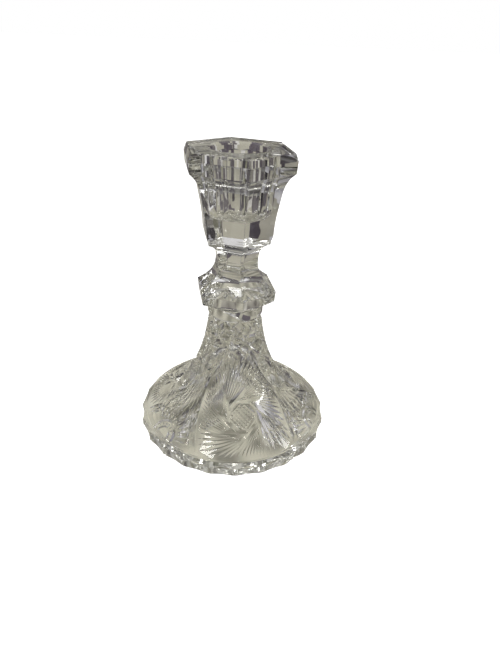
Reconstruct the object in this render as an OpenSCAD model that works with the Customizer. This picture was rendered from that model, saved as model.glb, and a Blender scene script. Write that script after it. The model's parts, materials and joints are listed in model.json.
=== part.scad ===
// Pressed crystal candlestick for one dinner candle. From the top down it is a hexagonal cup, a waisted
// neck, a hexagonal knop, a narrow round collar, and a hollow bell foot with a scalloped edge. The sections
// meet face to face, as hot glass is stuck up, with no metal and no fastener between them.
// The origin is the middle of the underside, and a corner of every hexagon points along -Y.

/* [Overall] */
// Height from the table to the top of the rim
total_h = 125; // [104:1:150]
// Diameter of the foot across the points of its scallops
foot_d = 89; // [74:1:107]

/* [Candle cup] */
// Diameter of the bore's straight seat, which holds the candle's foot
bore_d = 20; // [16:0.1:24]
// Height of that seat, from the floor of the bore
seat_h = 12; // [8:0.5:16]
// How far the bore widens all round, from the seat up to the mouth
mouth_flare = 1.3; // [0.5:0.1:2.5]
// Depth of the bore, from the top of the rim
bore_depth = 25; // [20:0.5:30]
// Width of the chamfer round the mouth of the bore
mouth_chamfer = 0.6; // [0.2:0.1:1.2]
// Glass left outside the bore, across the flats at the cup's narrow end
cup_wall = 3.3; // [2:0.1:6]
// Height of the cup, from its lower edge to the top of the rim
cup_h = 35.6; // [30:0.1:44]
// How far the body's corners lean out between its lower and its upper end
body_draft = 2.4; // [0:0.1:4]
// How far the rim's corners stand out from the body
rim_flare = 5.2; // [2:0.1:8]
// Height of the concave flare under the rim
flare_h = 8; // [5:0.1:10]
// Height of the rim's upright band
band_h = 4.5; // [3:0.1:6]
// Height of the bevel above the band
bevel_h = 2.8; // [1:0.1:4]
// Width of that bevel, at the corners
bevel_w = 1.2; // [0.4:0.1:2.5]
// Height of the chamfer at the cup's lower edge
under_h = 4; // [2:0.1:5]
// Width of that chamfer, at the corners
under_w = 1.0; // [0.4:0.1:2]

/* [Neck and knop] */
// Height of the waisted neck
neck_h = 20.4; // [16:0.1:26]
// Width across the neck's corners at the waist
neck_w = 19; // [14:0.1:24]
// Height of the knop
knop_h = 7; // [5:0.1:9]
// Height of the undercut below the knop's upright band
knop_under_h = 2.4; // [1:0.1:4]
// Width across the knop's corners
knop_w = 36; // [30:0.1:44]
// Height of the collar
collar_h = 5; // [3:0.1:8]
// Diameter of the collar
collar_d = 24.2; // [20:0.1:29]
// Radius of the rounded edges above and below the collar
collar_round = 0.5; // [0.2:0.1:1]

/* [Bell foot] */
// How far the top of the bell is set in from the collar's face, all round
stem_set_in = 0; // [0:0.1:1]
// Height of the upright edge of the foot
edge_h = 3.5; // [2:0.1:6]
// Number of scallops round the edge
scallops = 24; // [12:6:36]
// Depth of a scallop below the straight line between its two points
scallop_dip = 0.7; // [0.2:0.1:1.5]
// Width of the ring that the foot stands on, from its edge to the hollow
ring_w = 7.5; // [5:0.1:12]
// Height of the hollow inside the foot
hollow_h = 40; // [30:0.5:44]

/* [Hidden] */
$fn = 128;

FLAT = cos(30);  // half width across the flats for a half width of 1 across the corners
CURVE_STEPS = 8;
BELL_STEPS = 28;
CLEAR = 1;  // how far a cutter runs past the face that it opens
GLASS = [0.80, 0.81, 0.77];

foot_r = foot_d / 2;
bore_r = bore_d / 2;
mouth_r = bore_r + mouth_flare;
neck_r = neck_w / 2;
knop_r = knop_w / 2;
collar_r = collar_d / 2;
collar_face_r = collar_r - collar_round;
stem_r = collar_face_r - stem_set_in;

// Corner radii of the cup
body_low_r = (bore_r + cup_wall) / FLAT;
cup_low_r = body_low_r - under_w;
body_high_r = body_low_r + body_draft;
rim_r = body_high_r + rim_flare;
top_r = rim_r - bevel_w;

// Heights of the joints and of the levels inside the sections
cup_z = total_h - cup_h;
neck_z = cup_z - neck_h;
knop_z = neck_z - knop_h;
collar_z = knop_z - collar_h;
waist_lift = 1.6;  // the neck is narrowest this far above its middle
waist_h = 1;  // and keeps that width for this height
waist_z = (neck_z + cup_z) / 2 + waist_lift;
body_low_z = cup_z + under_h;
bevel_z = total_h - bevel_h;
band_z = bevel_z - band_h;
body_high_z = band_z - flare_h;
band_lean = 0.3;  // the rim's band leans out this much towards its top
knop_lean = 0.4;  // and the knop's band this much

// Scallops of the foot
step = 360 / scallops;
half_chord = foot_r * sin(step / 2);
scallop_r = (half_chord * half_chord + scallop_dip * scallop_dip) / (2 * scallop_dip);
scallop_off = foot_r * cos(step / 2) - scallop_dip + scallop_r;

// Handles that shape the hexagonal sections, each [outwards, upwards] from its own end of a curve
body_foot = [0.2, 7];
body_head = [-0.9, -5];
flare_foot = [0.8, 4];
flare_head = [-2.2, -1.6];
spread_foot = [-5, 3.5];
spread_head = [0, -5.5];
gather_foot = [0, 4.3];
gather_head = [-3.4, -1.3];
under_foot = [1, 0.8];
under_head = [-1.8, -1.2];

// Handles that shape the bell and its hollow
skirt_in = 9.4;  // the skirt's handle lies this far in from the edge
skirt_up = 9.8;  // and this far above it
stem_out = 3.9;  // the stem's handle lies this far outside the stem
stem_pull = 0.77;  // and is pulled down by this share of the bell's height above its edge
hollow_r = foot_r - ring_w;
hollow_handle_1 = [0.26, 0.36];  // shares of the hollow's radius and height
hollow_handle_2 = [0.24, 1];

// Points [radius, height] along a smooth curve from a to d, whose handles are b and c
function curve(a, b, c, d, steps) = [
    for (i = [0:steps])
        let (t = i / steps, s = 1 - t)
        s * s * s * a + 3 * s * s * t * b + 3 * s * t * t * c + t * t * t * d
];

// Solid of six flat sides through the levels, each [corner radius, height], from the lowest up
module hex_stack(levels) {
    last = len(levels) - 1;
    corners = [
        for (level = levels, k = [0:5])
            [level[0] * cos(30 + 60 * k), level[0] * sin(30 + 60 * k), level[1]]
    ];
    sides = [
        for (i = [0:last - 1], k = [0:5])
            let (next = (k + 1) % 6)
            [6 * i + k, 6 * i + 6 + k, 6 * i + 6 + next, 6 * i + next]
    ];
    under = [for (k = [0:5]) k];
    over = [for (k = [5:-1:0]) 6 * last + k];
    polyhedron(points = corners, faces = concat([under], sides, [over]), convexity = 6);
}

// Bore with a straight seat at its floor, a tapered mouth above the seat, and a chamfered edge
module candle_bore() {
    floor_z = total_h - bore_depth;
    seat_z = floor_z + seat_h;
    translate([0, 0, floor_z])
        cylinder(r = bore_r, h = bore_depth);
    rotate_extrude()
        polygon([[0, seat_z], [bore_r, seat_z], [mouth_r, total_h - mouth_chamfer],
                 [mouth_r + mouth_chamfer, total_h], [mouth_r + mouth_chamfer, total_h + CLEAR],
                 [0, total_h + CLEAR]]);
}

module candle_cup() {
    body_low = [body_low_r, body_low_z];
    body_high = [body_high_r, body_high_z];
    band_low = [rim_r - band_lean, band_z];
    body = curve(body_low, body_low + body_foot, body_high + body_head, body_high, CURVE_STEPS);
    flare = curve(body_high, body_high + flare_foot, band_low + flare_head, band_low, CURVE_STEPS);
    color(GLASS)
        difference() {
            hex_stack(concat([[cup_low_r, cup_z]],
                             [for (i = [0:CURVE_STEPS - 1]) body[i]],
                             flare,
                             [[rim_r, bevel_z], [top_r, total_h]]));
            candle_bore();
        }
}

module neck() {
    low = [knop_r, neck_z];
    waist_low = [neck_r, waist_z];
    waist_high = [neck_r, waist_z + waist_h];
    high = [cup_low_r, cup_z];
    spread = curve(low, low + spread_foot, waist_low + spread_head, waist_low, CURVE_STEPS);
    gather = curve(waist_high, waist_high + gather_foot, high + gather_head, high, CURVE_STEPS);
    color(GLASS)
        hex_stack(concat(spread, gather));
}

module knop() {
    low = [collar_r, knop_z];
    high = [knop_r - knop_lean, knop_z + knop_under_h];
    under = curve(low, low + under_foot, high + under_head, high, CURVE_STEPS);
    color(GLASS)
        hex_stack(concat(under, [[knop_r, neck_z]]));
}

module collar() {
    color(GLASS)
        rotate_extrude()
            union() {
                translate([0, collar_z])
                    square([collar_face_r, collar_h]);
                translate([0, collar_z + collar_round])
                    square([collar_r, collar_h - 2 * collar_round]);
                for (z = [collar_z + collar_round, knop_z - collar_round])
                    translate([collar_face_r, z])
                        circle(r = collar_round, $fn = 24);
            }
}

module bell() {
    low = [foot_r, edge_h];
    high = [stem_r, collar_z];
    skirt_handle = low + [-skirt_in, skirt_up];
    stem_handle = high + [stem_out, -stem_pull * (collar_z - edge_h)];
    outline = curve(low, skirt_handle, stem_handle, high, BELL_STEPS);
    rotate_extrude()
        polygon(concat([[0, 0], [foot_r, 0]], outline, [[0, collar_z]]));
}

module hollow() {
    inside = curve([hollow_r, 0], [hollow_r * hollow_handle_1[0], hollow_h * hollow_handle_1[1]],
                   [hollow_r * hollow_handle_2[0], hollow_h * hollow_handle_2[1]], [0, hollow_h], BELL_STEPS);
    rotate_extrude()
        polygon(concat([[0, -CLEAR], [hollow_r, -CLEAR]], inside));
}

module scallop_cuts() {
    for (k = [0:scallops - 1])
        rotate(k * step)
            translate([scallop_off, 0, -CLEAR])
                cylinder(r = scallop_r, h = collar_z);
}

module bell_foot() {
    color(GLASS)
        difference() {
            bell();
            hollow();
            scallop_cuts();
        }
}

candle_cup();
neck();
knop();
collar();
bell_foot();
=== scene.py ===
import json
import math

import bmesh
import bpy
from mathutils import Matrix, Vector


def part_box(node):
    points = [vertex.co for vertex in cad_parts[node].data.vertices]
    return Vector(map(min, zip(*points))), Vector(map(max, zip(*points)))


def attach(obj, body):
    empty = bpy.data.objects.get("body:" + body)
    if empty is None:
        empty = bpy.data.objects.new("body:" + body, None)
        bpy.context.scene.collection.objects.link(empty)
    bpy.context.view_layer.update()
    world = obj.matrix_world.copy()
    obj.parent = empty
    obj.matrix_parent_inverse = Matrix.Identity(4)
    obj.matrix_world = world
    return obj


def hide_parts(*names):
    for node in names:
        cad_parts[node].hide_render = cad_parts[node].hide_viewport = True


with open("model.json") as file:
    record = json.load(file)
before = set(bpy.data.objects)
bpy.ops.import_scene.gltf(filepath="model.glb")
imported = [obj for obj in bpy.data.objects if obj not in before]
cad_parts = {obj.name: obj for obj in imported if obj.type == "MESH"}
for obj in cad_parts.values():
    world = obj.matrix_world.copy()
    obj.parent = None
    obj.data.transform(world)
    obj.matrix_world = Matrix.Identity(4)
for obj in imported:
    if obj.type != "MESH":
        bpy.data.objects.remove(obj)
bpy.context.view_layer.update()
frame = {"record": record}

MM = 0.001
SIDES = 6
UP = Vector((0, 0, 1))

# ---------------------------------------------------------------- sizes from the frame
cup_low, cup_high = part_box("candle_cup")
neck_low, neck_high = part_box("neck")
knop_low, knop_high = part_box("knop")
collar_low, collar_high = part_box("collar")
foot_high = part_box("bell_foot")[1]
bore = next(m for m in frame["record"]["mounts"] if m["name"] == "candle_bore")

SCALLOPS = 24
SCALLOP_STEP = math.tau / SCALLOPS
SCALLOP_DIP = 0.7 * MM
TOTAL_H = cup_high.z
RIM_R = cup_high.y
KNOP_R = knop_high.y
COLLAR_R = collar_high.x
FOOT_R = foot_high.x / math.cos(SCALLOP_STEP / 2)
BORE_R = bore["dims"]["r_mm"] * MM  # the straight seat at the bore's floor
SEAT_H = bore["dims"]["length_mm"] * MM
BORE_DEPTH = 25 * MM
BORE_ROUND = 2 * MM  # round between the bore's floor and its wall
MOUTH_R = BORE_R + 1.3 * MM
MOUTH_CHAMFER = 0.6 * MM
COLLAR_ROUND = 0.5 * MM
JOINT_R = COLLAR_R - COLLAR_ROUND  # the discs where collar, knop and foot meet
EDGE_H = 3.5 * MM  # upright edge of the foot
HOLLOW_R = FOOT_R - 7.5 * MM
HOLLOW_H = 40 * MM
FOOT_CHAMFER = 0.5 * MM  # round the underside of the edge
CORNER_ROUND = 0.35 * MM  # fire-polished corners of the hexagons

# Corner radii of the hexagonal levels
CUP_FOOT_R = 14.36 * MM
BODY_LOW_R = 15.36 * MM
BODY_HIGH_R = 17.76 * MM
TOP_R = RIM_R - 1.2 * MM
WAIST_R = 9.5 * MM

# Heights of the cup's levels
BODY_LOW = cup_low.z + 4 * MM
BEVEL_LOW = TOTAL_H - 2.8 * MM
BAND_LOW = TOTAL_H - 7.3 * MM  # lower edge of the rim's upright band
BODY_HIGH = BAND_LOW - 8 * MM

# The bore's flutes
FLUTES = 14
FLUTE_DEPTH = 0.9 * MM
FLUTE_HALF_WIDTH = 2.35 * MM
FLUTE_LOW = TOTAL_H - BORE_DEPTH + 1.2 * MM
FLUTE_HIGH = TOTAL_H - 2.6 * MM

WAIST_LIFT = 1.6 * MM  # the neck is narrowest this far above its middle
WAIST_H = 1 * MM  # and keeps that width for this height
UNDERCUT_H = 2.4 * MM  # below the knop's upright band
HEX_STEPS = 14  # rings along a curve of the neck and the rim's flare
KNOP_STEPS = 12
KNOP_FLAT_STEPS = 10

HAIR = 0.003 * MM  # joint faces are set in by this much, so that no two lie in one plane
BELL_STEPS = 90
BELL_TURNS = 288
HEX_CRISP = 22  # degrees past which an edge stays crisp, on the four upper pieces
FOOT_CRISP = 12


# ---------------------------------------------------------------- curves and plain meshes
def curve(a, b, c, d, steps):
    """Points along the smooth curve from a to d whose handles are b and c."""
    points = []
    for i in range(steps + 1):
        t = i / steps
        s = 1 - t
        points.append(tuple(s**3 * p + 3 * s * s * t * q + 3 * s * t * t * u + t**3 * w
                            for p, q, u, w in zip(a, b, c, d)))
    return points


def new_object(name, verts, faces):
    mesh = bpy.data.meshes.new(name)
    mesh.from_pydata([tuple(v) for v in verts], [], faces)
    mesh.update()
    obj = bpy.data.objects.new(name, mesh)
    bpy.context.scene.collection.objects.link(obj)
    return obj


def skin_rings(rings):
    """Vertices and faces of a closed solid through rings of equal length, from the lowest up."""
    count = len(rings[0])
    verts = [v for ring in rings for v in ring]
    faces = [tuple(reversed(range(count)))]
    for j in range(len(rings) - 1):
        for k in range(count):
            n = (k + 1) % count
            faces.append((j * count + k, j * count + n, (j + 1) * count + n, (j + 1) * count + k))
    faces.append(tuple(range((len(rings) - 1) * count, len(rings) * count)))
    return verts, faces


def hex_ring(radius, z, flat_steps=1, corner_steps=4, disc=0.0, disc_r=0.0):
    """Hexagon with rounded corners, a corner along -Y. disc blends it towards a circle of radius disc_r."""
    sixth = math.radians(360 / SIDES)
    centres = radius - CORNER_ROUND / math.cos(sixth / 2)
    ring = []
    for side in range(SIDES):
        mid = math.radians(60 * side - 90)
        corner = []
        for i in range(corner_steps + 1):
            a = mid + sixth * (i / corner_steps - 0.5)
            corner.append(Vector((centres * math.cos(mid) + CORNER_ROUND * math.cos(a),
                                  centres * math.sin(mid) + CORNER_ROUND * math.sin(a), z)))
        turned = Matrix.Rotation(sixth, 3, "Z") @ corner[0]
        flat = [corner[-1].lerp(turned, i / flat_steps) for i in range(1, flat_steps)]
        ring += corner + flat
    if disc > 0:
        ring = [p.lerp(Vector((p.x, p.y, 0)).normalized() * disc_r + UP * p.z, disc) for p in ring]
    return ring


def lathe(name, outline, turns, reach=None):
    """Solid of revolution. The outline runs up the outside from the axis and back to it, anticlockwise.
    reach(azimuth) is the largest radius at an azimuth."""
    verts, faces, rings = [], [], []
    for r, z in outline:
        if r <= 0:
            rings.append([len(verts)] * turns)
            verts.append((0, 0, z))
            continue
        rings.append(list(range(len(verts), len(verts) + turns)))
        for k in range(turns):
            a = math.tau * k / turns
            rr = min(r, reach(a)) if reach else r
            verts.append((rr * math.sin(a), -rr * math.cos(a), z))
    for low, high in zip(rings, rings[1:]):
        for k in range(turns):
            n = (k + 1) % turns
            corners = [low[k], low[n], high[n], high[k]]
            face = tuple(dict.fromkeys(corners))
            if len(face) > 2:
                faces.append(face)
    return new_object(name, verts, faces)


def scallop_reach(azimuth):
    """How far out the foot reaches: a round scallop is scooped between every two points of its edge."""
    half_chord = FOOT_R * math.sin(SCALLOP_STEP / 2)
    scoop_r = (half_chord**2 + SCALLOP_DIP**2) / (2 * SCALLOP_DIP)
    scoop_off = FOOT_R * math.cos(SCALLOP_STEP / 2) - SCALLOP_DIP + scoop_r
    off = (azimuth + SCALLOP_STEP / 2) % SCALLOP_STEP - SCALLOP_STEP / 2
    return scoop_off * math.cos(off) - math.sqrt(scoop_r**2 - (scoop_off * math.sin(off))**2)


# ---------------------------------------------------------------- the bell's skin
class Skin:
    """The bell's outer profile, read by the rise up it. Its two handles shape the skirt and the stem."""

    def __init__(self):
        skirt = (FOOT_R - 9.4 * MM, EDGE_H + 9.8 * MM)
        stem = (JOINT_R + 3.9 * MM, foot_high.z - 0.77 * (foot_high.z - EDGE_H))
        self.points = curve((FOOT_R, EDGE_H), skirt, stem, (JOINT_R, foot_high.z), BELL_STEPS)
        self.rises = [0.0]
        for (r0, z0), (r1, z1) in zip(self.points, self.points[1:]):
            self.rises.append(self.rises[-1] + math.hypot(r1 - r0, z1 - z0))

    def at(self, rise):
        """(radius, height, slope of radius, slope of height) at that rise."""
        i = 0
        while i < len(self.rises) - 2 and self.rises[i + 1] < rise:
            i += 1
        span = self.rises[i + 1] - self.rises[i]
        (r0, z0), (r1, z1) = self.points[i], self.points[i + 1]
        t = (rise - self.rises[i]) / span
        return r0 + t * (r1 - r0), z0 + t * (z1 - z0), (r1 - r0) / span, (z1 - z0) / span

    def place(self, azimuth, rise):
        """Point on the skin and the outward direction there."""
        r, z, dr, dz = self.at(rise)
        out = Vector((math.sin(azimuth), -math.cos(azimuth), 0))
        return out * r + UP * z, (out * dz - UP * dr).normalized()

    def across(self, centre, x, rise):
        """Azimuth of the place x to the right of the azimuth centre, at that rise."""
        return centre + x / self.at(rise)[0]

    def spoke(self, centre, middle, radius, angle):
        """Place at a radius and an angle about the place (centre, middle)."""
        rise = middle + radius * math.sin(angle)
        return self.across(centre, radius * math.cos(angle), rise), rise


skin = Skin()


# ---------------------------------------------------------------- cutters
class Cutters:
    """Gathers wheel cuts, each a closed sliver with a V section that follows the bell's skin."""

    def __init__(self):
        self.verts, self.faces = [], []

    def add_solid(self, sections):
        """Closed solid through sections of equal length, given so that its faces point outwards."""
        start = len(self.verts)
        verts, faces = skin_rings(sections)
        self.verts += verts
        self.faces += [tuple(start + i for i in face) for face in faces]

    def mitre(self, path, depths, flank=1.1, lift=0.5 * MM):
        """V cut along path, a list of (azimuth, rise). flank is half width over depth, and lift is how far
        the cutter stands out of the skin."""
        spots = [skin.place(*p) for p in path]
        sections = []
        for i, ((point, out), depth) in enumerate(zip(spots, depths)):
            ahead = spots[min(i + 1, len(spots) - 1)][0] - spots[max(i - 1, 0)][0]
            side = ahead.cross(out).normalized()
            half = (lift + depth) * flank
            sections.append([point - out * depth, point + out * lift + side * half,
                             point + out * lift - side * half])
        self.add_solid(sections)

    def object(self, name):
        obj = new_object(name, self.verts, self.faces)
        shape = bmesh.new()
        shape.from_mesh(obj.data)
        bmesh.ops.recalc_face_normals(shape, faces=shape.faces)
        shape.to_mesh(obj.data)
        shape.free()
        return obj


LEAF_PROUD = 0.12 * MM  # how far a leaf-shaped cut stands proud of the skin at its ends
MITRE_PROUD = 0.1 * MM  # and a mitre of one depth


def boat(steps, deepest, peak=0.5):
    """Depths of a leaf-shaped cut, deepest at the share peak of its length."""
    depths = []
    for i in range(steps + 1):
        t = i / steps
        u = t / peak - 1 if t < peak else (t - peak) / (1 - peak)
        depths.append(deepest - (deepest + LEAF_PROUD) * u * u)
    return depths


def even(steps, depth):
    """Depths of a cut of one depth that runs out at both ends."""
    return [-MITRE_PROUD] + [depth] * (steps - 1) + [-MITRE_PROUD]


# ---------------------------------------------------------------- the pinwheel panel
HUB_RISE = 22.7 * MM
HUB_R = 7.1 * MM  # the vanes touch this circle
HUB_RING_DEPTH = 1.0 * MM
HATCH_R = HUB_R - 0.9 * MM
HATCH_PITCH = 1.5 * MM
HATCH_DEPTH = 0.6 * MM
VANES = 8
VANE_LEAD = 4.7 * MM  # a vane starts this far before it touches the hub
VANE_RUN = 15.5 * MM  # and runs this far past it
VANE_DEPTH = 2.0 * MM
LEAVES = 8  # behind each vane
LEAF_DEPTH = 1.25 * MM
LEAF_START = 0.22  # a leaf begins at this share of the way to the border
RIBBON_W = 2.9 * MM
RIBBON_DEPTH = 0.9 * MM
PANEL_LOW = 5.2 * MM  # vanes and leaves stay between these rises
PANEL_HIGH = 48 * MM
PANEL_MARGIN = 1.6 * MM  # and this far inside the border


def border(extra, steps):
    """Half widths and rises down the side of a pinwheel panel, moved out by extra below its top."""
    top, upper = (5.5 * MM, 53 * MM), (14 * MM + extra, 40 * MM)
    lower, low = (24 * MM + extra, 22 * MM), (23.5 * MM + extra, 4.6 * MM)
    return curve(top, upper, lower, low, steps)


def border_half_width(rise):
    """Half width of the pinwheel panel at a rise."""
    side = border(0, 40)
    for (x0, y0), (x1, y1) in zip(side, side[1:]):
        if y1 <= rise <= y0:
            return x0 + (x1 - x0) * (y0 - rise) / (y0 - y1)
    return side[-1][0] if rise < side[-1][1] else side[0][0]


def reach_border(x, y, angle):
    """Length from the panel's place (x, y), about its hub, to its border in a direction."""
    run, longest, step = 0, 60 * MM, 0.5 * MM
    while run < longest:
        run += step
        px = x + run * math.cos(angle)
        rise = HUB_RISE + y + run * math.sin(angle)
        if not PANEL_LOW <= rise <= PANEL_HIGH or abs(px) > border_half_width(rise) - PANEL_MARGIN:
            break
    return run


def panel_line(x0, y0, x1, y1, centre, steps):
    """Path on the skin between two places of a panel, given about its hub."""
    path = []
    for i in range(steps + 1):
        t = i / steps
        rise = HUB_RISE + y0 + t * (y1 - y0)
        path.append((skin.across(centre, x0 + t * (x1 - x0), rise), rise))
    return path


def pinwheel(cuts, centre):
    """Long vanes whirl round the hub, with a sheaf of finer leaves behind each."""
    for k in range(VANES):
        a = math.tau * k / VANES
        heading = a - math.pi / 2
        tx, ty = HUB_R * math.cos(a), HUB_R * math.sin(a)
        ux, uy = math.cos(heading), math.sin(heading)
        ox, oy = tx - VANE_LEAD * ux, ty - VANE_LEAD * uy
        run = min(VANE_LEAD + VANE_RUN, reach_border(ox, oy, heading))
        cuts.mitre(panel_line(ox, oy, ox + run * ux, oy + run * uy, centre, 10),
                   boat(10, VANE_DEPTH, peak=0.42), flank=0.85)
        for j in range(1, LEAVES + 1):
            turn = heading + (math.tau / VANES) * j / (LEAVES + 1)
            vx, vy = math.cos(turn), math.sin(turn)
            far = reach_border(ox, oy, turn)
            near = LEAF_START * far
            cuts.mitre(panel_line(ox + near * vx, oy + near * vy, ox + far * vx, oy + far * vy, centre, 8),
                       boat(8, LEAF_DEPTH, peak=0.6), flank=0.64)


def crosshatch(cuts, centre):
    """Fine diamonds on the hub. A line shorter than two pitches is left out."""
    rows = int(HATCH_R / HATCH_PITCH)
    for lean in (math.radians(45), math.radians(-45)):
        ux, uy = math.cos(lean), math.sin(lean)
        for row in range(-rows, rows + 1):
            off = row * HATCH_PITCH
            half = math.sqrt(max(HATCH_R**2 - off**2, 0)) - 0.3 * MM
            if half < HATCH_PITCH:
                continue
            mx, my = -off * uy, off * ux
            cuts.mitre(panel_line(mx - half * ux, my - half * uy, mx + half * ux, my + half * uy, centre, 6),
                       even(6, HATCH_DEPTH), flank=1.0, lift=0.3 * MM)


def hub_ring(cuts, centre):
    """Round mitre just inside the hub's edge. Its two ends meet."""
    steps, start = 40, -5
    path = []
    for i in range(steps + 1):
        path.append(skin.spoke(centre, HUB_RISE, HUB_R - 0.3 * MM, math.radians(start + 360 * i / steps)))
    cuts.mitre(path, even(steps, HUB_RING_DEPTH), flank=0.75, lift=0.35 * MM)


def panel_border(cuts, centre):
    """Two mitres down each side of a pinwheel panel, with a plain ribbon between them."""
    for extra in (0, RIBBON_W):
        for side in (-1, 1):
            path = [(skin.across(centre, side * x, rise), rise) for x, rise in border(extra, 18)]
            cuts.mitre(path, even(18, RIBBON_DEPTH), flank=1.0, lift=0.3 * MM)


# ---------------------------------------------------------------- the fan panel
FAN_LEAVES = 7
FAN_DEPTH = 1.6 * MM
FAN_TOP = 43 * MM  # rise of the outer leaves' upper ends
FAN_TOP_STEP = 3 * MM  # each leaf nearer the middle starts this much lower
FAN_LOW = 12.5 * MM  # rise of the middle leaf's lower end
FAN_LOW_STEP = 2.6 * MM  # each leaf further out ends this much lower
BUTTON_RISE = 4.6 * MM
BUTTON_R = 6.3 * MM
RAYS = 9
RAY_DEPTH = 0.4 * MM
FLAMES = 13
FLAME_DEPTH = 1.0 * MM


def fan(cuts, centre):
    """Long leaves spread from the stem down to the half-round button at the edge."""
    outer = (FAN_LEAVES - 1) / 2
    for j in range(FAN_LEAVES):
        side = j - outer
        top = FAN_TOP - FAN_TOP_STEP * (outer - abs(side))
        low = FAN_LOW - FAN_LOW_STEP * abs(side)
        path = []
        for i in range(11):
            t = i / 10
            spread = math.radians(1.0 + 5.6 * t**0.8) * side
            path.append((centre + spread, top + t * (low - top)))
        cuts.mitre(path, boat(10, FAN_DEPTH, peak=0.6), flank=0.72)


def button(cuts, centre):
    """Two round mitres about the fan's foot, short rays between them and long flames outside."""
    for radius, depth in ((BUTTON_R, 0.8 * MM), (0.55 * BUTTON_R, 0.6 * MM)):
        path = [skin.spoke(centre, BUTTON_RISE, radius, math.radians(-14 + 208 * i / 20)) for i in range(21)]
        cuts.mitre(path, even(20, depth), flank=0.9, lift=0.4 * MM)
    for ray in range(RAYS):
        a = math.radians(8 + 164 * ray / (RAYS - 1))
        path = [skin.spoke(centre, BUTTON_RISE, t * BUTTON_R, a) for t in (0.6, 0.68, 0.76, 0.84, 0.94)]
        cuts.mitre(path, boat(4, RAY_DEPTH), flank=0.8, lift=0.3 * MM)
    for flame in range(FLAMES):
        a = math.radians(9 + 162 * flame / (FLAMES - 1))
        path = []
        for i in range(7):
            t = 1.15 + (0.75 + 0.75 * abs(math.cos(a))) * i / 6
            path.append(skin.spoke(centre, BUTTON_RISE, t * BUTTON_R, a))
        cuts.mitre(path, boat(6, FLAME_DEPTH), flank=0.75)


# ---------------------------------------------------------------- the lattice and the edge
LATTICE_RISE = 53 * MM
LATTICE_TOP = 63.6 * MM
LATTICE_LEAN = math.radians(52)
EDGE_LINE_RISE = 3.4 * MM
EDGE_LINE_SPAN = 120.8  # degrees, a little over a third of the way round
FACE_HALF_W = 6.5 * MM  # the flat faces under the collar
FACE_LOW_OFF = 14.2 * MM
FACE_TOP_OFF = 10.2 * MM


def lattice_line(cuts, start, way, low, depth):
    """Spiral mitre that passes the azimuth start at the lattice's rise, leaning by way (-1 or 1)."""
    path = []
    for i in range(15):
        rise = low + (LATTICE_TOP - low) * i / 14
        turn = way * (rise - LATTICE_RISE) / math.tan(LATTICE_LEAN) / skin.at(LATTICE_RISE)[0]
        path.append((start + turn, rise))
    cuts.mitre(path, even(14, depth), flank=0.8, lift=0.3 * MM)


def lattice(cuts):
    """Crossed mitres round the stem, each (azimuth, lower rise, depth), in degrees and millimetres."""
    for way in (-1, 1):
        for azimuth, low, depth in ((23.5, 46.5, 1.0), (-23.5, 43, 1.0), (0, 49.8, 0.6), (60, 44, 0.8)):
            lattice_line(cuts, way * math.radians(azimuth), way, low * MM, depth * MM)


def edge_line(cuts):
    """A third of the fine groove that runs round the foot above its upright edge."""
    path = [(math.radians(EDGE_LINE_SPAN * (i / 36 - 0.5)), EDGE_LINE_RISE) for i in range(37)]
    cuts.mitre(path, even(36, 0.4 * MM), flank=0.8)


def thumb_faces(cuts):
    """Flat faces under the collar, each with an arched lower edge."""
    top, low = foot_high.z - 0.4 * MM, foot_high.z - 9 * MM
    for side in (-1, 1):
        mid = math.radians(30 * side)
        out = Vector((math.sin(mid), -math.cos(mid), 0))
        along = Vector((math.cos(mid), math.sin(mid), 0)) * FACE_HALF_W
        sections = []
        for z, off in ((low, FACE_LOW_OFF), (top, FACE_TOP_OFF)):
            inner = out * off + UP * z
            outer = out * (off + 6 * MM) + UP * z
            sections.append([inner - along, outer - along, outer + along, inner + along])
        cuts.add_solid(sections)


def foot_cutters():
    """Every cut of one third of the foot, about azimuth 0."""
    cuts = Cutters()
    wheel_mid, fan_mid = 0.0, math.radians(60)
    pinwheel(cuts, wheel_mid)
    crosshatch(cuts, wheel_mid)
    hub_ring(cuts, wheel_mid)
    panel_border(cuts, wheel_mid)
    fan(cuts, fan_mid)
    button(cuts, fan_mid)
    lattice(cuts)
    edge_line(cuts)
    thumb_faces(cuts)
    return cuts.object("foot_cutters")


# ---------------------------------------------------------------- Geometry Nodes
def new_tree(name, inputs):
    """Geometry Nodes tree with named inputs, given as (name, kind, default). Returns tree and identifiers."""
    tree = bpy.data.node_groups.new(name, "GeometryNodeTree")
    tree.is_modifier = True
    tree.interface.new_socket("Geometry", in_out="INPUT", socket_type="NodeSocketGeometry")
    names = {}
    for label, kind, default in inputs:
        socket = tree.interface.new_socket(label, in_out="INPUT", socket_type="NodeSocket" + kind)
        if default is not None:
            socket.default_value = default
        names[label] = socket.identifier
    tree.interface.new_socket("Geometry", in_out="OUTPUT", socket_type="NodeSocketGeometry")
    return tree, names


def add(tree, kind, links=(), **settings):
    """Node with its settings, and links given as (input, output socket or plain value)."""
    node = tree.nodes.new(kind)
    for key, value in settings.items():
        setattr(node, key, value)
    for key, source in links:
        if isinstance(source, bpy.types.NodeSocket):
            tree.links.new(source, node.inputs[key])
        else:
            node.inputs[key].default_value = source
    return node


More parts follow.
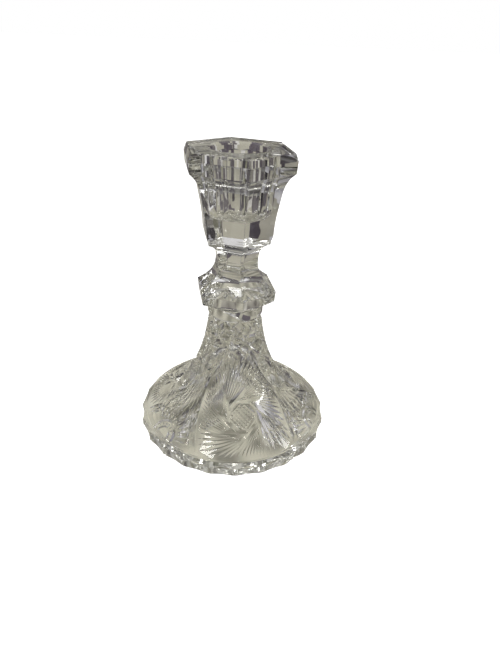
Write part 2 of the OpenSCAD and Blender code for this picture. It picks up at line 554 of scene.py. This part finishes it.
def wheel_cut_tree():
    """Repeats the cutters round the axis, takes them out of the blank and gives it its finish."""
    tree, names = new_tree("wheel_cut", [
        ("Cutters", "Object", None), ("Copies", "Int", 1), ("Finish", "Material", None)])
    given = add(tree, "NodeGroupInput").outputs
    shape = add(tree, "GeometryNodeObjectInfo", [("Object", given["Cutters"])])
    spots = add(tree, "GeometryNodeMeshLine", [("Count", given["Copies"]), ("Offset", (0, 0, 0))])
    step = add(tree, "ShaderNodeMath", [(0, math.tau), (1, given["Copies"])], operation="DIVIDE")
    index = add(tree, "GeometryNodeInputIndex")
    turn = add(tree, "ShaderNodeMath", [(0, index.outputs[0]), (1, step.outputs[0])], operation="MULTIPLY")
    spin = add(tree, "ShaderNodeCombineXYZ", [("Z", turn.outputs[0])])
    ring = add(tree, "GeometryNodeInstanceOnPoints",
               [("Points", spots.outputs["Mesh"]), ("Instance", shape.outputs["Geometry"]),
                ("Rotation", spin.outputs[0])])
    real = add(tree, "GeometryNodeRealizeInstances", [("Geometry", ring.outputs["Instances"])])
    island = add(tree, "GeometryNodeInputMeshIsland")
    parts = add(tree, "GeometryNodeSplitToInstances",
                [("Geometry", real.outputs["Geometry"]), ("Group ID", island.outputs["Island Index"])],
                domain="FACE")
    cut = add(tree, "GeometryNodeMeshBoolean",
              [("Mesh 1", given["Geometry"]), ("Mesh 2", parts.outputs["Instances"])],
              operation="DIFFERENCE", solver="MANIFOLD")
    solid = add(tree, "GeometryNodeRealizeInstances", [("Geometry", cut.outputs["Mesh"])])
    done = add(tree, "GeometryNodeSetMaterial",
               [("Geometry", solid.outputs["Geometry"]), ("Material", given["Finish"])])
    add(tree, "NodeGroupOutput", [("Geometry", done.outputs["Geometry"])])
    return tree, names


def collapse_slivers(mesh):
    """Draws together edges shorter than a hair, and makes triangles of the faces."""
    shape = bmesh.new()
    shape.from_mesh(mesh)
    short = [edge for edge in shape.edges if edge.calc_length() < HAIR]
    while short:
        bmesh.ops.collapse(shape, edges=short, uvs=False)
        short = [edge for edge in shape.edges if edge.calc_length() < HAIR]
    bmesh.ops.triangulate(shape, faces=shape.faces)
    shape.to_mesh(mesh)
    shape.free()


def wheel_cut(name, blank, cutters, copies):
    """Piece cut from its blank, made one plain mesh. The blank and its cutters are used up."""
    modifier = blank.modifiers.new("wheel cut", "NODES")
    modifier.node_group = CUT_TREE
    for label, value in (("Cutters", cutters), ("Copies", copies), ("Finish", CRYSTAL)):
        modifier[CUT_INPUTS[label]] = value
    graph = bpy.context.evaluated_depsgraph_get()
    mesh = bpy.data.meshes.new_from_object(blank.evaluated_get(graph))
    blank.modifiers.clear()
    collapse_slivers(mesh)
    mesh.name = name
    piece = bpy.data.objects.new(name, mesh)
    bpy.context.scene.collection.objects.link(piece)
    for used in (blank, cutters):
        bpy.data.objects.remove(used)
    return piece


def finish(piece, crisp_angle, low_joint=None, high_joint=None):
    """Crystal in one slot, smooth skins with crisp edges, and the faces of the hot-stuck joints marked and
    set in by a hair."""
    mesh = piece.data
    mesh.materials.clear()
    mesh.materials.append(CRYSTAL)
    fused = mesh.attributes.new("fused", "FLOAT", "FACE")
    for joint, set_in in ((low_joint, HAIR), (high_joint, -HAIR)):
        if joint is None:
            continue
        at_joint = {v.index for v in mesh.vertices if abs(v.co.z - joint) < HAIR}
        for face in mesh.polygons:
            if at_joint.issuperset(face.vertices):
                fused.data[face.index].value = 1
        for index in at_joint:
            mesh.vertices[index].co.z += set_in
    mesh.shade_smooth()
    mesh.set_sharp_from_angle(angle=math.radians(crisp_angle))
    return piece


# ---------------------------------------------------------------- materials
def crystal():
    """Clear pressed crystal, faintly grey, with slow waves in its polish. Lamps shine through it, and the
    faces of the hot-stuck joints are left unseen."""
    material = bpy.data.materials.new("pressed_crystal")
    material.use_nodes = True
    nodes, links = material.node_tree.nodes, material.node_tree.links
    nodes.clear()
    place = nodes.new("ShaderNodeTexCoord")
    wave = nodes.new("ShaderNodeTexNoise")
    wave.inputs["Scale"].default_value = 70
    wave.inputs["Detail"].default_value = 2
    links.new(place.outputs["Object"], wave.inputs["Vector"])
    ripple = nodes.new("ShaderNodeBump")
    ripple.inputs["Strength"].default_value = 0.04
    ripple.inputs["Distance"].default_value = 0.0006
    links.new(wave.outputs["Fac"], ripple.inputs["Height"])
    haze = nodes.new("ShaderNodeTexNoise")
    haze.inputs["Scale"].default_value = 60
    haze.inputs["Detail"].default_value = 5
    links.new(place.outputs["Object"], haze.inputs["Vector"])
    polish = nodes.new("ShaderNodeMapRange")
    polish.inputs["From Min"].default_value = 0.45
    polish.inputs["From Max"].default_value = 0.75
    polish.inputs["To Min"].default_value = 0.0
    polish.inputs["To Max"].default_value = 0.02
    links.new(haze.outputs["Fac"], polish.inputs["Value"])
    glass = nodes.new("ShaderNodeBsdfPrincipled")
    glass.inputs["Base Color"].default_value = (0.96, 0.96, 0.94, 1)
    glass.inputs["Transmission Weight"].default_value = 1
    glass.inputs["IOR"].default_value = 1.52
    links.new(polish.outputs["Result"], glass.inputs["Roughness"])
    links.new(ripple.outputs["Normal"], glass.inputs["Normal"])
    clear = nodes.new("ShaderNodeBsdfTransparent")
    clear.inputs["Color"].default_value = (0.84, 0.84, 0.83, 1)
    path = nodes.new("ShaderNodeLightPath")
    mix = nodes.new("ShaderNodeMixShader")
    links.new(path.outputs["Is Shadow Ray"], mix.inputs["Fac"])
    links.new(glass.outputs["BSDF"], mix.inputs[1])
    links.new(clear.outputs["BSDF"], mix.inputs[2])
    fused = nodes.new("ShaderNodeAttribute")
    fused.attribute_name = "fused"
    unseen = nodes.new("ShaderNodeBsdfTransparent")
    skin_or_joint = nodes.new("ShaderNodeMixShader")
    links.new(fused.outputs["Fac"], skin_or_joint.inputs["Fac"])
    links.new(mix.outputs["Shader"], skin_or_joint.inputs[1])
    links.new(unseen.outputs["BSDF"], skin_or_joint.inputs[2])
    body = nodes.new("ShaderNodeVolumeAbsorption")
    body.inputs["Color"].default_value = (0.74, 0.74, 0.70, 1)
    body.inputs["Density"].default_value = 14
    out = nodes.new("ShaderNodeOutputMaterial")
    links.new(skin_or_joint.outputs["Shader"], out.inputs["Surface"])
    links.new(body.outputs["Volume"], out.inputs["Volume"])
    return material


CRYSTAL = crystal()
CUT_TREE, CUT_INPUTS = wheel_cut_tree()


# ---------------------------------------------------------------- the five sections
def bore_r(height):
    """Radius of the bore at a height: a straight seat, then a taper up to the mouth."""
    seat_top = TOTAL_H - BORE_DEPTH + SEAT_H
    rise = max(0, height - seat_top) / (TOTAL_H - MOUTH_CHAMFER - seat_top)
    return BORE_R + rise * (MOUTH_R - BORE_R)


def flutes():
    """One flute of the ribbed bore, a shallow groove of two flat faces in its wall."""
    cuts = Cutters()
    inside, back = 0.2 * MM, 1 * MM  # the cutter's edges and its back lie this far inside the wall
    half = FLUTE_HALF_WIDTH
    sections = []
    for t in (0, 0.04, 0.12, 0.3, 0.5, 0.7, 0.88, 0.97, 1.0):
        z = FLUTE_LOW + t * (FLUTE_HIGH - FLUTE_LOW)
        deep = FLUTE_DEPTH * min(1, 0.1 + 8 * t, 0.1 + 30 * (1 - t))
        wall = bore_r(z) - inside
        ring = []
        for u in (-1, -0.12, 0, 0.12, 1):
            ring.append(Vector((half * u, -wall - (deep + inside) * min(1 - abs(u), 0.95), z)))
        ring += [Vector((half, -wall + back, z)), Vector((-half, -wall + back, z))]
        sections.append(ring)
    cuts.add_solid(sections)
    return cuts.object("flute_cutter")


def bore_cutter():
    """Candle bore with a softened floor, a straight seat, a tapered mouth and a chamfered edge."""
    bore_floor = TOTAL_H - BORE_DEPTH
    outline = [(0, bore_floor)]
    for a in range(0, 91, 15):
        outline.append((BORE_R - BORE_ROUND + BORE_ROUND * math.sin(math.radians(a)),
                        bore_floor + BORE_ROUND - BORE_ROUND * math.cos(math.radians(a))))
    outline += [(BORE_R, bore_floor + SEAT_H), (MOUTH_R, TOTAL_H - MOUTH_CHAMFER),
                (MOUTH_R + 2 * MOUTH_CHAMFER, TOTAL_H + MOUTH_CHAMFER), (0, TOTAL_H + MOUTH_CHAMFER)]
    return lathe("bore_cutter", outline, turns=96)


def candle_cup():
    """Chamfered foot, body, concave flare, upright band and bevel. The chamfer and the bevel are softened at
    their edges."""
    body = curve((BODY_LOW_R, BODY_LOW), (BODY_LOW_R + 0.2 * MM, BODY_LOW + 7 * MM),
                 (BODY_HIGH_R - 0.9 * MM, BODY_HIGH - 5 * MM), (BODY_HIGH_R, BODY_HIGH), 10)
    flare = curve((BODY_HIGH_R, BODY_HIGH), (BODY_HIGH_R + 0.8 * MM, BODY_HIGH + 4 * MM),
                  (RIM_R - 2.5 * MM, BAND_LOW - 1.6 * MM), (RIM_R - 0.3 * MM, BAND_LOW), HEX_STEPS)
    foot = [(CUP_FOOT_R, cup_low.z), (BODY_LOW_R - 0.1 * MM, BODY_LOW - 0.4 * MM)]
    bevel = [(RIM_R, BEVEL_LOW), (RIM_R - 0.12 * MM, BEVEL_LOW + 0.3 * MM),
             (TOP_R + 0.1 * MM, TOTAL_H - 0.25 * MM), (TOP_R - 0.25 * MM, TOTAL_H)]
    rings = [hex_ring(r, z) for r, z in foot + body + flare[1:] + bevel]
    blank = new_object("cup_blank", *skin_rings(rings))
    bored = wheel_cut("bored_cup", blank, bore_cutter(), 1)
    return finish(wheel_cut("cut_candle_cup", bored, flutes(), FLUTES), HEX_CRISP, low_joint=cup_low.z)


def neck():
    """Spreads down to the knop and gathers up to the cup, from a waist of one width."""
    waist = (neck_low.z + neck_high.z) / 2 + WAIST_LIFT
    spread = curve((KNOP_R, neck_low.z), (KNOP_R - 5 * MM, neck_low.z + 3.5 * MM),
                   (WAIST_R, waist - 5.5 * MM), (WAIST_R, waist), HEX_STEPS)
    gather = curve((WAIST_R, waist + WAIST_H), (WAIST_R, neck_high.z - 3.3 * MM),
                   (CUP_FOOT_R - 3.4 * MM, neck_high.z - 1.3 * MM), (CUP_FOOT_R, neck_high.z), HEX_STEPS)
    piece = new_object("cut_neck", *skin_rings([hex_ring(r, z) for r, z in spread + gather]))
    return finish(piece, HEX_CRISP, neck_low.z, neck_high.z)


def knop():
    """The undercut turns from the round collar into the hexagon."""
    under = curve((JOINT_R, knop_low.z), (JOINT_R + 1.5 * MM, knop_low.z + 0.8 * MM),
                  (KNOP_R - 2.2 * MM, knop_low.z + 1.2 * MM),
                  (KNOP_R - 0.4 * MM, knop_low.z + UNDERCUT_H), KNOP_STEPS)
    rings = []
    for i, (r, z) in enumerate(under):
        rings.append(hex_ring(r, z, flat_steps=KNOP_FLAT_STEPS, disc=1 - i / KNOP_STEPS, disc_r=r))
    rings.append(hex_ring(KNOP_R, knop_high.z, flat_steps=KNOP_FLAT_STEPS))
    return finish(new_object("cut_knop", *skin_rings(rings)), HEX_CRISP, knop_low.z, knop_high.z)


def collar():
    """Round wafer with a rounded edge above and below."""
    outline = [(0, collar_low.z)]
    for z, start in ((collar_low.z + COLLAR_ROUND, -90), (collar_high.z - COLLAR_ROUND, 0)):
        for a in range(start, start + 91, 15):
            outline.append((JOINT_R + COLLAR_ROUND * math.cos(math.radians(a)),
                            z + COLLAR_ROUND * math.sin(math.radians(a))))
    outline.append((0, collar_high.z))
    return finish(lathe("round_collar", outline, turns=144), HEX_CRISP, collar_low.z, collar_high.z)


def bell_foot():
    """Hollow bell with a scalloped edge. Its cuts are repeated three times."""
    hollow = curve((0, HOLLOW_H), (HOLLOW_R * 0.24, HOLLOW_H), (HOLLOW_R * 0.26, HOLLOW_H * 0.36),
                   (HOLLOW_R, 0), 48)
    edge = [(HOLLOW_R, 0), (FOOT_R - FOOT_CHAMFER, 0), (FOOT_R, FOOT_CHAMFER)]
    outline = hollow[:-1] + edge + skin.points + [(0, foot_high.z)]
    blank = lathe("foot_blank", outline, BELL_TURNS, scallop_reach)
    return finish(wheel_cut("cut_bell_foot", blank, foot_cutters(), 3), FOOT_CRISP, high_joint=foot_high.z)


for make, node in ((candle_cup, "candle_cup"), (neck, "neck"), (knop, "knop"), (collar, "collar"),
                   (bell_foot, "bell_foot")):
    piece = make()
    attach(piece, "root")
    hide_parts(node)


# ---------------------------------------------------------------- studio
FLOOR_SIZE = 40.0
FLOOR_DROP = 0.05 * MM
TABLE_NEAR = 0.11  # the table's weave gives way to its patches between these distances
TABLE_FAR = 0.18


def floor():
    """Floor just below the foot. The camera sees it pale and glowing. The crystal sees a warm grey table,
    with patches of tone further off that depend only on their bearing."""
    corners = ((-1, -1), (1, -1), (1, 1), (-1, 1))
    obj = new_object("studio_floor", [(x * FLOOR_SIZE, y * FLOOR_SIZE, -FLOOR_DROP) for x, y in corners],
                     [(0, 1, 2, 3)])
    material = bpy.data.materials.new("pale_floor")
    material.use_nodes = True
    nodes, links = material.node_tree.nodes, material.node_tree.links
    nodes.clear()
    paper = nodes.new("ShaderNodeBsdfDiffuse")
    paper.inputs["Color"].default_value = (0.86, 0.86, 0.86, 1)
    glow = nodes.new("ShaderNodeEmission")
    glow.inputs["Strength"].default_value = 0.8
    seen = nodes.new("ShaderNodeAddShader")
    links.new(paper.outputs["BSDF"], seen.inputs[0])
    links.new(glow.outputs["Emission"], seen.inputs[1])
    place = nodes.new("ShaderNodeTexCoord")
    through = nodes.new("ShaderNodeBsdfDiffuse")
    weave = nodes.new("ShaderNodeTexNoise")
    weave.inputs["Scale"].default_value = 60
    weave.inputs["Detail"].default_value = 0
    links.new(place.outputs["Object"], weave.inputs["Vector"])
    near = colour_ramp(nodes, links, weave.outputs["Fac"],
                       [(0.30, (0.24, 0.23, 0.195)), (0.42, (0.41, 0.395, 0.335)), (0.50, (0.56, 0.54, 0.46)),
                        (0.66, (0.72, 0.70, 0.605))])
    patches = nodes.new("ShaderNodeTexVoronoi")
    bearing = nodes.new("ShaderNodeVectorMath")
    bearing.operation = "NORMALIZE"
    links.new(place.outputs["Object"], bearing.inputs[0])
    patches.inputs["Scale"].default_value = 4.5
    links.new(bearing.outputs["Vector"], patches.inputs["Vector"])
    tone = nodes.new("ShaderNodeSeparateColor")
    links.new(patches.outputs["Color"], tone.inputs["Color"])
    far = colour_ramp(nodes, links, tone.outputs["Red"],
                      [(0.0, (0.03, 0.025, 0.035)), (0.25, (0.14, 0.12, 0.15)), (0.4, (0.60, 0.58, 0.49)),
                       (0.6, (0.36, 0.36, 0.24)), (0.75, (0.72, 0.70, 0.61)), (0.95, (0.95, 0.94, 0.97))])
    off = nodes.new("ShaderNodeVectorMath")
    off.operation = "LENGTH"
    links.new(place.outputs["Object"], off.inputs[0])
    away = nodes.new("ShaderNodeMapRange")
    away.inputs["From Min"].default_value = TABLE_NEAR
    away.inputs["From Max"].default_value = TABLE_FAR
    links.new(off.outputs["Value"], away.inputs["Value"])
    table = nodes.new("ShaderNodeMix")
    table.data_type = "RGBA"
    links.new(away.outputs["Result"], table.inputs["Factor"])
    links.new(near, table.inputs["A"])
    links.new(far, table.inputs["B"])
    links.new(table.outputs["Result"], through.inputs["Color"])
    path = nodes.new("ShaderNodeLightPath")
    mix = nodes.new("ShaderNodeMixShader")
    links.new(path.outputs["Is Camera Ray"], mix.inputs["Fac"])
    links.new(through.outputs["BSDF"], mix.inputs[1])
    links.new(seen.outputs["Shader"], mix.inputs[2])
    links.new(mix.outputs["Shader"], nodes.new("ShaderNodeOutputMaterial").inputs["Surface"])
    obj.data.materials.append(material)


def colour_ramp(nodes, links, source, stops):
    """Colour output of a ramp through the stops, each (place, colour)."""
    ramp = nodes.new("ShaderNodeValToRGB")
    ends = ramp.color_ramp.elements
    while len(ends) < len(stops):
        ends.new(0.5)
    for end, (at, colour) in zip(ends, stops):
        end.position = at
        end.color = (*colour, 1)
    links.new(source, ramp.inputs["Fac"])
    return ramp.outputs["Color"]


LAMP_DISTANCE = 1.2


def softbox(name, azimuth, elevation, width, height, watts):
    """White rectangular lamp that faces the middle of the candlestick."""
    a, e = math.radians(azimuth), math.radians(elevation)
    aim = Vector((0, 0, TOTAL_H / 2))
    off = Vector((math.sin(a) * math.cos(e), -math.cos(a) * math.cos(e), math.sin(e)))
    lamp = bpy.data.lights.new(name, "AREA")
    lamp.shape = "RECTANGLE"
    lamp.size, lamp.size_y, lamp.energy = width, height, watts
    obj = bpy.data.objects.new(name, lamp)
    facing = off.to_track_quat("Z", "Y").to_matrix().to_4x4()
    obj.matrix_world = Matrix.Translation(aim + off * LAMP_DISTANCE) @ facing
    bpy.context.scene.collection.objects.link(obj)


def room():
    """The camera sees plain white. The crystal sees a soft room, pale at the horizon and bright overhead,
    with patches of dim colour added all round."""
    world = bpy.data.worlds.new("studio_room")
    world.use_nodes = True
    nodes, links = world.node_tree.nodes, world.node_tree.links
    place = nodes.new("ShaderNodeTexCoord")
    split = nodes.new("ShaderNodeSeparateXYZ")
    links.new(place.outputs["Generated"], split.inputs[0])
    bands = ((0.0, 0.14), (0.05, 0.10), (0.12, 0.0), (0.36, 0.0), (0.52, 0.40), (0.8, 0.48))
    pale = colour_ramp(nodes, links, split.outputs["Z"], [(at, (v, v, v * 0.985)) for at, v in bands])
    flat = nodes.new("ShaderNodeMapping")
    flat.inputs["Scale"].default_value = (1, 1, 0.35)
    links.new(place.outputs["Generated"], flat.inputs["Vector"])
    spread = nodes.new("ShaderNodeTexVoronoi")
    spread.inputs["Scale"].default_value = 3.5
    links.new(flat.outputs["Vector"], spread.inputs["Vector"])
    tone = nodes.new("ShaderNodeSeparateColor")
    links.new(spread.outputs["Color"], tone.inputs["Color"])
    dim = colour_ramp(nodes, links, tone.outputs["Green"],
                      [(0.0, (0.008, 0.006, 0.010)), (0.33, (0.05, 0.043, 0.06)), (0.52, (0.27, 0.255, 0.22)),
                       (0.7, (0.10, 0.10, 0.06)), (0.87, (0.38, 0.37, 0.43))])
    join = nodes.new("ShaderNodeMix")
    join.data_type, join.blend_type = "RGBA", "ADD"
    join.inputs["Factor"].default_value = 1
    links.new(pale, join.inputs["A"])
    links.new(dim, join.inputs["B"])
    links.new(join.outputs["Result"], nodes["Background"].inputs["Color"])
    nodes["Background"].inputs["Strength"].default_value = 1.0
    paper = nodes.new("ShaderNodeBackground")
    paper.inputs["Color"].default_value = (1, 1, 1, 1)
    seen = nodes.new("ShaderNodeLightPath").outputs["Is Camera Ray"]
    mix = nodes.new("ShaderNodeMixShader")
    links.new(seen, mix.inputs["Fac"])
    links.new(nodes["Background"].outputs["Background"], mix.inputs[1])
    links.new(paper.outputs["Background"], mix.inputs[2])
    links.new(mix.outputs["Shader"], nodes["World Output"].inputs["Surface"])
    bpy.context.scene.world = world


CAMERA_AZIMUTH = -9.84
CAMERA_EYE = (0, -0.1873, 0.1584)  # before it goes round to that azimuth
CAMERA_PAN, CAMERA_TILT, CAMERA_ROLL = 2.15, 31.3, 2.6
CAMERA_LENS = 25.9


def camera():
    """Close wide-angle view from just left of the front, looking down on the rim."""
    around = Matrix.Rotation(math.radians(CAMERA_AZIMUTH), 4, "Z")
    pan, tilt, roll = math.radians(CAMERA_PAN), math.radians(CAMERA_TILT), math.radians(CAMERA_ROLL)
    ahead = Vector((math.sin(pan) * math.cos(tilt), math.cos(pan) * math.cos(tilt), -math.sin(tilt)))
    level = Vector((math.cos(pan), -math.sin(pan), 0))
    above = level.cross(ahead)
    right = math.cos(roll) * level + math.sin(roll) * above
    top = math.cos(roll) * above - math.sin(roll) * level
    data = bpy.data.cameras.new("camera")
    data.lens = CAMERA_LENS
    data.clip_start = 0.01
    obj = bpy.data.objects.new("camera", data)
    turn = Matrix((right, top, -ahead)).transposed().to_4x4()
    obj.matrix_world = around @ Matrix.Translation(CAMERA_EYE) @ turn
    bpy.context.scene.collection.objects.link(obj)
    bpy.context.scene.camera = obj


floor()
softbox("key_box", azimuth=-50, elevation=60, width=0.3, height=0.3, watts=3)
softbox("fill_box", azimuth=70, elevation=50, width=0.15, height=0.5, watts=2)
softbox("back_box", azimuth=160, elevation=55, width=0.12, height=0.12, watts=0.4)
room()
camera()

cycles = bpy.context.scene.cycles
cycles.max_bounces = 28
cycles.transmission_bounces = 28
cycles.glossy_bounces = 12
cycles.transparent_max_bounces = 32
bpy.context.scene.view_settings.view_transform = "Standard"
